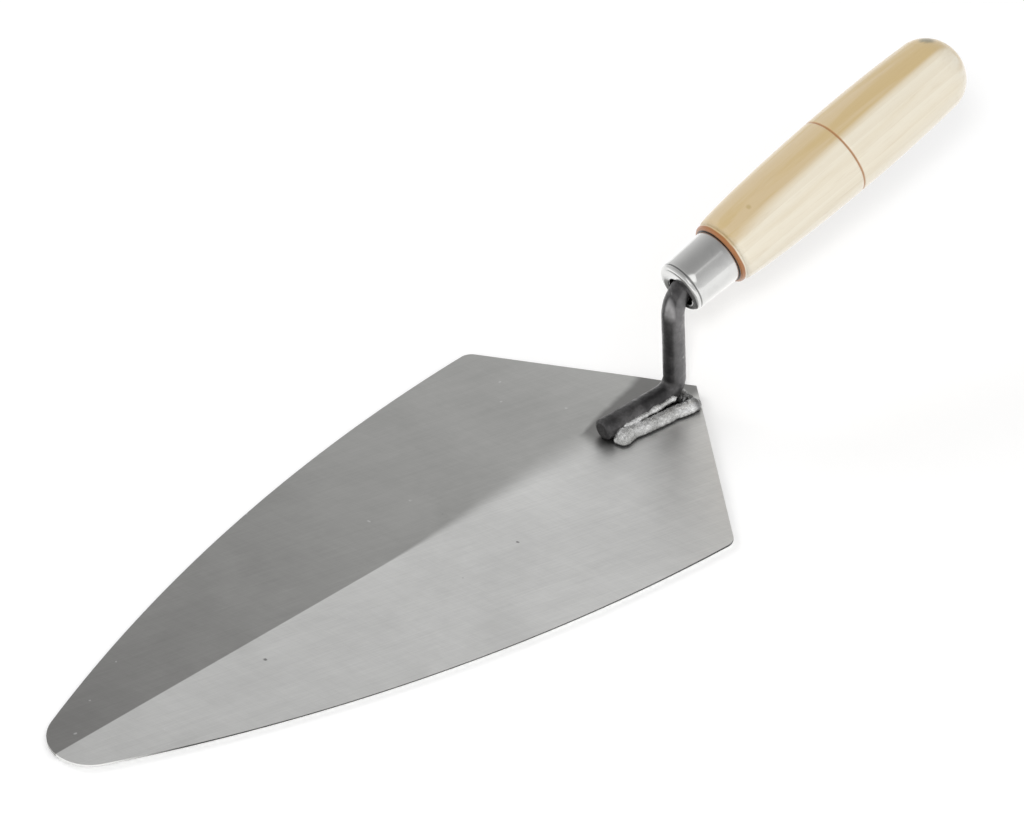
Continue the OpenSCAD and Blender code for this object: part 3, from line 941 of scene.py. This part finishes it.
def gripRadius(s):
    g = gripShape
    if s < g["bellyAt"]:
        t = max(0.0, (s - g["beadWidth"]) / (g["bellyAt"] - g["beadWidth"]))
        swell = math.sin(math.pi / 2 * t) ** g["bellyBlunt"]
        radius = g["neckRadius"] + (g["bellyRadius"] - g["neckRadius"]) * swell
    else:
        t = (s - g["bellyAt"]) / (g["length"] - g["buttLength"] - g["bellyAt"])
        radius = g["bellyRadius"] - (g["bellyRadius"] - g["buttRadius"]) * t * t
    ring = math.exp(-((s - g["ringAt"]) / (g["ringWidth"] * g["ringSoft"])) ** 2)
    return radius - g["ringDepth"] * ring


def gripProfile():
    g = gripShape
    beadHalf = g["beadWidth"] / 2
    profile = [(0.0, g["holeEnd"] + g["holeCone"]), (g["holeTip"], g["holeEnd"]), (g["hole"], g["holeFull"]),
               (g["hole"], g["tenonStart"]), (g["tenonRadius"], g["tenonStart"]),
               (g["tenonRadius"], -g["tenonShort"]), (g["beadRadius"] - beadHalf - g["beadFoot"], 0.0)]
    for i in range(g["beadSteps"] + 1):
        a = math.radians(-90 + g["beadTurn"] * i / g["beadSteps"])
        profile.append((g["beadRadius"] - beadHalf + beadHalf * math.cos(a),
                        beadHalf + beadHalf * math.sin(a)))
    s = g["beadWidth"] + g["beadGap"]
    end = g["length"] - g["buttLength"]
    while s < end:
        profile.append((gripRadius(s), s))
        s += g["fineStep"] if abs(s - g["ringAt"]) < g["fineReach"] else g["step"]
    for i in range(g["buttSteps"] + 1):
        a = math.pi / 2 * i / g["buttSteps"]
        profile.append((g["buttRadius"] * math.cos(a), end + g["buttLength"] * math.sin(a)))
    return [(r, d + g["start"]) for r, d in profile]


woodLook = {
    # the upper tone is the wood's own; the paler lower tone is painted light
    "upperTone": (0.60, 0.47, 0.28, 1),
    "litLower": (0.79, 0.73, 0.60, 1),
    "litLowerSide": (-0.166, 0.783, -0.599),
    "litLowerRagged": 26 * mm,
    "litLowerEdge": (-1.6 * mm, 2.2 * mm),
    "grainSqueeze": 0.05,  # along the wood, so the grain is drawn out twenty times
    "warp": {"Scale": 60.0, "Detail": 2.0},
    "rings": {"Scale": 75.0, "Distortion": 2.5, "Detail": 2.0, "Detail_Scale": 2.0},
    "ringCentre": (0.012, -0.03, 0.0),
    "ringTone": (0.52, 0.39, 0.22, 1),
    "ringWeight": 0.12,
    "fibre": {"Scale": 900.0, "Detail": 5.0, "Roughness": 0.7},
    "fibreTone": (0.46, 0.32, 0.16, 1),
    "fibreSpan": (0.5, 0.8),
    "fibreWeight": 0.22,
    "fibreDepth": 0.03 * mm,
    "patch": {"Scale": 95.0, "Level": 0.56, "Softness": 0.05},
    "patchTone": (0.53, 0.38, 0.14, 1),
    "patchWeight": 0.45,
    "patchLitLoss": 0.35,
    "markFade": 1.6,  # share of a mark's reach, as is the next
    "markCore": 0.9,
    "markWeight": 0.8,
    "bandRag": {"Scale": 260.0, "Detail": 2.0},
    "burntAt": 0.2,  # share of the bead's width
    "burntSize": (0.5 * mm, 0.95 * mm, 0.4 * mm),
    "burntTone": (0.34, 0.13, 0.034, 1),
    "ringSize": (0.2 * mm, 0.6 * mm, 0.2 * mm),
    "ringBurn": (0.38, 0.17, 0.055, 1),
    "ringBurnWeight": 0.9,
    "jointReach": (0.14 * mm, 0.02 * mm),
    "jointOut": (0.5 * mm, 0.25 * mm),  # past the ferrule's back radius
    "jointTone": (0.02, 0.012, 0.008, 1),
    "roughness": (0.3, 0.8, 0.36, 0.5),
    "coat": 0.4,
    "coatRoughness": 0.14,
}


def gripMaterial():
    g, w = gripShape, woodLook
    material, tree, shader, place = newMaterial("lacqueredWood")[:4]
    # turn the wood's own length onto Z, measured from the bend's corner
    centred = vectorMaths(tree, "SUBTRACT", place, tuple(neckCorner))
    distance = vectorMaths(tree, "DOT_PRODUCT", centred, tuple(gripAxis), "Value")
    up = Vector((0, 1, 0)).cross(gripAxis)
    across = put(tree, "ShaderNodeCombineXYZ",
                 X=vectorMaths(tree, "DOT_PRODUCT", centred, (0, 1, 0), "Value"),
                 Y=vectorMaths(tree, "DOT_PRODUCT", centred, tuple(up), "Value"),
                 Z=maths(tree, "MULTIPLY", distance, w["grainSqueeze"])).outputs[0]
    warp = put(tree, "ShaderNodeTexNoise", Vector=across, **w["warp"])
    rings = put(tree, "ShaderNodeTexWave",
                {"wave_type": "RINGS", "rings_direction": "Z", "wave_profile": "SAW"},
                Vector=vectorMaths(tree, "ADD", across, w["ringCentre"]), **w["rings"])
    fibre = put(tree, "ShaderNodeTexNoise", Vector=across, **w["fibre"]).outputs[0]
    # painted light: the wood's own tone above, painted paler on the lower near side, with an uneven line
    # between them
    uneven = maths(tree, "MULTIPLY", maths(tree, "SUBTRACT", warp.outputs[0], 0.5), w["litLowerRagged"])
    lowSide = vectorMaths(tree, "DOT_PRODUCT", centred, w["litLowerSide"], "Value")
    litLower = ramp(tree, maths(tree, "ADD", lowSide, uneven), *w["litLowerEdge"])
    tone = blendColour(tree, litLower, w["upperTone"], w["litLower"])
    ringMask = ramp(tree, rings.outputs["Color"], 0.0, 1.0, 0.0, w["ringWeight"])
    tone = blendColour(tree, ringMask, tone, w["ringTone"])
    tone = blendColour(tree, ramp(tree, fibre, *w["fibreSpan"], 0.0, w["fibreWeight"]), tone, w["fibreTone"])
    patch = useGroup(tree, cloudyGrime, Vector=across, **w["patch"])
    patchShare = maths(tree, "SUBTRACT", w["patchWeight"], maths(tree, "MULTIPLY", litLower, w["patchLitLoss"]))
    tone = blendColour(tree, maths(tree, "MULTIPLY", patch.outputs[0], patchShare), tone, w["patchTone"])
    for spot, reach, shade in g["marks"]:
        away = vectorMaths(tree, "DISTANCE", place, tuple(spot), "Value")
        ragged = maths(tree, "MULTIPLY", fibre, reach)
        mark = ramp(tree, maths(tree, "ADD", away, ragged), reach * w["markFade"], reach * w["markCore"])
        tone = blendColour(tree, maths(tree, "MULTIPLY", mark, w["markWeight"]), tone, shade)

    def band(centre, core, fade, wobble):
        ragged = put(tree, "ShaderNodeTexNoise", Vector=place, **w["bandRag"])
        shift = maths(tree, "MULTIPLY", maths(tree, "SUBTRACT", ragged.outputs[0], 0.5), wobble)
        shifted = maths(tree, "ADD", distance, shift)
        return ramp(tree, maths(tree, "ABSOLUTE", maths(tree, "SUBTRACT", shifted, centre)), fade, core)

    burnt = band(g["start"] + g["beadWidth"] * w["burntAt"], *w["burntSize"])
    middle = band(g["start"] + g["ringAt"], *w["ringSize"])
    tone = blendColour(tree, burnt, tone, w["burntTone"])
    tone = blendColour(tree, maths(tree, "MULTIPLY", middle, w["ringBurnWeight"]), tone, w["ringBurn"])
    # the dark joint line in front of the wood, only where it nearly touches the ferrule
    sideways = vectorMaths(tree, "CROSS_PRODUCT", centred, tuple(gripAxis))
    outward = vectorMaths(tree, "LENGTH", sideways, None, "Value")
    inFront, behind = w["jointReach"]
    outer, inner = w["jointOut"]
    joint = maths(tree, "MULTIPLY", ramp(tree, distance, g["start"] + inFront, g["start"] + behind),
                  ramp(tree, outward, ferruleShape["backRadius"] + outer, ferruleShape["backRadius"] + inner))
    tone = blendColour(tree, joint, tone, w["jointTone"])
    tree.links.new(tone, shader.inputs["Base Color"])
    tree.links.new(ramp(tree, fibre, *w["roughness"]), shader.inputs["Roughness"])
    shader.inputs["Coat Weight"].default_value = w["coat"]
    shader.inputs["Coat Roughness"].default_value = w["coatRoughness"]
    bump(tree, shader, fibre, w["fibreDepth"])
    return material


finishPiece(turned("woodGrip", gripProfile(), gripShape["sides"], gripMaterial()), "grip_wood", "grip")
print("grip done")

# Studio: a plain pale floor, soft boxes and the camera
studio = {
    "aim": (0.04415, -0.03513, 0.0),
    "azimuth": math.radians(49.146),
    "elevation": math.radians(38.918),
    "roll": math.radians(-0.726),
    "distance": 1.8784,
    "lens": 190.984,
    "sensor": 36.0,
    "floorTone": 0.82,
    "floorDrop": 1.2 * mm,
    "skyHorizon": 1.1,
    "skyZenith": 0.5,
    "floorSeen": 0.04,  # glow that keeps the floor white to the camera
    "floorMirrored": 0.45,  # glow that the metal mirrors
    "floorHalf": 6.0,
    "clipEnd": 30.0,
    "lampAim": (0, 0, 0.02),
    "lamps": (  # name, azimuth, elevation, distance, size, energy, seen in reflections
        ("keyBox", 66, 46, 2.2, (1.3, 1.3), 5, True),
        ("frontBox", 43.5, 42.5, 2.3, (0.24, 0.24), 12, False),
        ("leftBox", -78, 36, 2.0, (1.2, 0.9), 7, False),
    ),
}


def addCamera():
    s = studio
    out = Vector((math.cos(s["elevation"]) * math.cos(s["azimuth"]),
                  math.cos(s["elevation"]) * math.sin(s["azimuth"]), math.sin(s["elevation"])))
    data = bpy.data.cameras.new("studioCamera")
    data.lens, data.sensor_width, data.clip_end = s["lens"], s["sensor"], s["clipEnd"]
    camera = bpy.data.objects.new("studioCamera", data)
    scene.collection.objects.link(camera)
    turn = out.to_track_quat("Z", "Y").to_matrix() @ Matrix.Rotation(s["roll"], 3, "Z")
    camera.matrix_world = Matrix.Translation(Vector(s["aim"]) + out * s["distance"]) @ turn.to_4x4()
    scene.camera = camera


def addSoftBox(name, azimuth, elevation, distance, size, energy, mirrored):
    az, el = math.radians(azimuth), math.radians(elevation)
    out = Vector((math.cos(el) * math.cos(az), math.cos(el) * math.sin(az), math.sin(el)))
    data = bpy.data.lights.new(name, "AREA")
    data.shape, data.size, data.size_y, data.energy = "RECTANGLE", size[0], size[1], energy
    lamp = bpy.data.objects.new(name, data)
    turn = out.to_track_quat("Z", "Y").to_matrix().to_4x4()
    lamp.matrix_world = Matrix.Translation(Vector(studio["lampAim"]) + out * distance) @ turn
    lamp.visible_glossy = mirrored
    scene.collection.objects.link(lamp)


def addFloor():
    material = bpy.data.materials.new("paleFloor")
    material.use_nodes = True
    tree = material.node_tree
    shader = tree.nodes["Principled BSDF"]
    seen = put(tree, "ShaderNodeLightPath")
    bright = maths(tree, "MAXIMUM", seen.outputs["Is Camera Ray"], seen.outputs["Is Glossy Ray"])
    tree.links.new(blendColour(tree, bright, grey(studio["floorTone"]), grey(1.0)), shader.inputs["Base Color"])
    shader.inputs["Roughness"].default_value = 1.0
    shader.inputs["Specular IOR Level"].default_value = 0.0
    glow = maths(tree, "ADD",
                 maths(tree, "MULTIPLY", seen.outputs["Is Camera Ray"], studio["floorSeen"]),
                 maths(tree, "MULTIPLY", seen.outputs["Is Glossy Ray"], studio["floorMirrored"]))
    tree.links.new(glow, shader.inputs["Emission Strength"])
    shader.inputs["Emission Color"].default_value = (1, 1, 1, 1)
    half, drop = studio["floorHalf"], studio["floorDrop"]
    corners = [(-half, -half, -drop), (half, -half, -drop), (half, half, -drop), (-half, half, -drop)]
    mesh = bpy.data.meshes.new("floorSheet")
    mesh.from_pydata(corners, [], [(0, 1, 2, 3)])
    mesh.materials.append(material)
    floor = bpy.data.objects.new("floorSheet", mesh)
    scene.collection.objects.link(floor)


def addWorld():
    world = bpy.data.worlds.new("studioWorld")
    scene.world = world
    world.use_nodes = True
    tree = world.node_tree
    background = tree.nodes["Background"]
    seen = put(tree, "ShaderNodeLightPath")
    outward = tree.nodes.new("ShaderNodeTexCoord").outputs["Generated"]
    height = put(tree, "ShaderNodeSeparateXYZ", Vector=outward)
    sky = ramp(tree, height.outputs[2], 0.0, 1.0, studio["skyHorizon"], studio["skyZenith"], smooth=False)
    level = ramp(tree, seen.outputs["Is Camera Ray"], 0.0, 1.0, sky, 1.0, smooth=False)
    tree.links.new(level, background.inputs["Strength"])
    background.inputs["Color"].default_value = (1, 1, 1, 1)


addCamera()
addFloor()
addWorld()
for lamp in studio["lamps"]:
    addSoftBox(*lamp)
scene.view_settings.view_transform = "Standard"
print("studio done")
